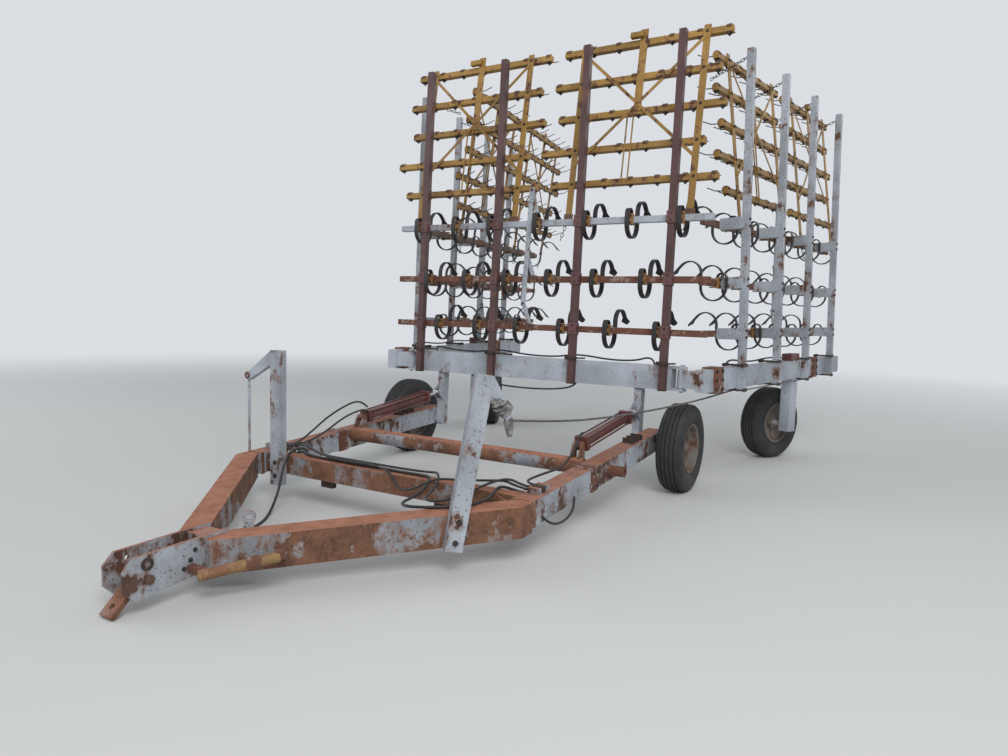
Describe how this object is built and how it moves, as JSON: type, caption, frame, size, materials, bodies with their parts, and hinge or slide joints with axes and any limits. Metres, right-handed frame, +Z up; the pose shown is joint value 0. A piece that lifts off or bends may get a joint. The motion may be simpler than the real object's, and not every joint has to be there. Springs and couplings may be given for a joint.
{
  "type": "folded tine weeder",
  "caption": "Towed spring-tine weeder folded for the road: upright centre frame with tine rows and comb harrows, two wings folded back, low A-frame drawbar and four small wheels.",
  "frame": {"origin": "on the ground, under the middle of the machine's length and width", "axes": "+Z up, -Y towards the hitch, +X towards the machine's left, which is its wing in the picture's right half"},
  "size_m": [4.7956, 8.8672, 4.3136],
  "materials": {
    "tyre": "worn",
    "wheel_white": "dull",
    "frame_grey": "dull",
    "pale_paint": "rusted",
    "rust_brown": "rusted",
    "maroon_paint": "faded",
    "harrow_ochre": "dull",
    "rod_steel": "worn",
    "dark_steel": "dull",
    "hose_black": "worn"
  },
  "bodies": {
    "carrier": {"front_cross_beam": "rust_brown", "rear_cross_tube": "frame_grey", "hitch_jaw": "pale_paint", "cross_hose": "hose_black", "tail_hose": "hose_black", "tail_coupler": "rod_steel", "hose_gland_left": "rod_steel", "hose_glands_right": "rod_steel", "side_rail_left": "rust_brown", "tongue_beam_left": "rust_brown", "cable_post_left": "dark_steel", "side_rail_right": "rust_brown", "tongue_beam_right": "rust_brown", "cable_post_right": "dark_steel"},
    "hitch_tongue": {"hitch_tongue": "rust_brown"},
    "lift_frame": {"centre_toolbar": "frame_grey", "lift_posts": "pale_paint", "centre_ribs": "maroon_paint", "centre_row_top": "frame_grey", "centre_row_middle": "rust_brown", "centre_row_bottom": "rust_brown", "centre_harrow_left": "harrow_ochre", "centre_harrow_right": "harrow_ochre"},
    "wing_left": {"wing_toolbar_left": "frame_grey", "wing_ribs_left": "pale_paint", "wing_row_top_left": "rust_brown", "wing_row_middle_left": "rust_brown", "wing_row_bottom_left": "rust_brown", "wing_harrow_inner_left": "harrow_ochre", "wing_harrow_outer_left": "harrow_ochre"},
    "wing_leg_left": {"wing_leg_left": "pale_paint"},
    "wing_wheel_left": {"wing_tyre_left": "tyre", "wing_rim_left": "wheel_white"},
    "main_wheel_left": {"main_tyre_left": "tyre", "main_rim_left": "wheel_white"},
    "lift_cylinder_left": {"lift_cylinder_left": "maroon_paint"},
    "lift_rod_left": {"lift_rod_left": "rod_steel"},
    "wing_right": {"wing_toolbar_right": "frame_grey", "wing_ribs_right": "pale_paint", "wing_row_top_right": "rust_brown", "wing_row_middle_right": "rust_brown", "wing_row_bottom_right": "rust_brown", "wing_harrow_inner_right": "harrow_ochre", "wing_harrow_outer_right": "harrow_ochre"},
    "wing_leg_right": {"wing_leg_right": "pale_paint"},
    "wing_wheel_right": {"wing_tyre_right": "tyre", "wing_rim_right": "wheel_white"},
    "main_wheel_right": {"main_tyre_right": "tyre", "main_rim_right": "wheel_white"},
    "lift_cylinder_right": {"lift_cylinder_right": "maroon_paint"},
    "lift_rod_right": {"lift_rod_right": "rod_steel"}
  },
  "joints": [
    {"name": "hitch_pivot", "type": "hinge", "parent": "carrier", "child": "hitch_tongue", "pos_m": [0, -4.24924, 0.175], "axis": [-1, 0, 0], "range_deg": [0, 55]},
    {"name": "frame_lift", "type": "hinge", "parent": "carrier", "child": "lift_frame", "pos_m": [0, 0.01276, 0.4], "axis": [-1, 0, 0], "range_deg": [0, 87.5]},
    {"name": "wing_fold_left", "type": "hinge", "parent": "lift_frame", "child": "wing_left", "pos_m": [1.533, -0.00203, 1.02424], "axis": [0, -0.0436, -0.999], "range_deg": [0, 81]},
    {"name": "wing_leg_swivel_left", "type": "hinge", "parent": "wing_left", "child": "wing_leg_left", "pos_m": [2.08926, 2.16767, 0.4], "axis": [0, 0, -1], "range_deg": [-25.1, 73.9]},
    {"name": "wing_wheel_spin_left", "type": "hinge", "parent": "wing_leg_left", "child": "wing_wheel_left", "pos_m": [1.88279, 2.26439, 0.4], "axis": [-0.9056, 0.4242, 0], "continuous": true},
    {"name": "main_wheel_spin_left", "type": "hinge", "parent": "carrier", "child": "main_wheel_left", "pos_m": [1.545, 0.01276, 0.4], "axis": [1, 0, 0], "continuous": true},
    {"name": "cylinder_pivot_left", "type": "hinge", "parent": "carrier", "child": "lift_cylinder_left", "pos_m": [1.122, -1.27724, 0.56], "axis": [-1, 0, 0], "range_deg": [0, 8.25]},
    {"name": "rod_slide_left", "type": "slide", "parent": "lift_cylinder_left", "child": "lift_rod_left", "axis": [0, 0.9937, 0.1121], "range_m": [0, 0.381]},
    {"name": "wing_fold_right", "type": "hinge", "parent": "lift_frame", "child": "wing_right", "pos_m": [-1.533, -0.00203, 1.02424], "axis": [0, 0.0436, 0.999], "range_deg": [0, 81]},
    {"name": "wing_leg_swivel_right", "type": "hinge", "parent": "wing_right", "child": "wing_leg_right", "pos_m": [-2.08926, 2.16767, 0.4], "axis": [0, 0, 1], "range_deg": [-25.1, 73.9]},
    {"name": "wing_wheel_spin_right", "type": "hinge", "parent": "wing_leg_right", "child": "wing_wheel_right", "pos_m": [-1.88279, 2.26439, 0.4], "axis": [0.9056, 0.4242, 0], "continuous": true},
    {"name": "main_wheel_spin_right", "type": "hinge", "parent": "carrier", "child": "main_wheel_right", "pos_m": [-1.545, 0.01276, 0.4], "axis": [1, 0, 0], "continuous": true},
    {"name": "cylinder_pivot_right", "type": "hinge", "parent": "carrier", "child": "lift_cylinder_right", "pos_m": [-1.122, -1.27724, 0.56], "axis": [-1, 0, 0], "range_deg": [0, 8.25]},
    {"name": "rod_slide_right", "type": "slide", "parent": "lift_cylinder_right", "child": "lift_rod_right", "axis": [0, 0.9937, 0.1121], "range_m": [0, 0.381]}
  ],
  "couplings": [
    {"joint": "cylinder_pivot_left", "follows": "frame_lift", "ratio": 0.094255},
    {"joint": "rod_slide_left", "follows": "frame_lift", "m_per_rad": 0.24914},
    {"joint": "cylinder_pivot_right", "follows": "frame_lift", "ratio": 0.094255},
    {"joint": "rod_slide_right", "follows": "frame_lift", "m_per_rad": 0.24914}
  ]
}
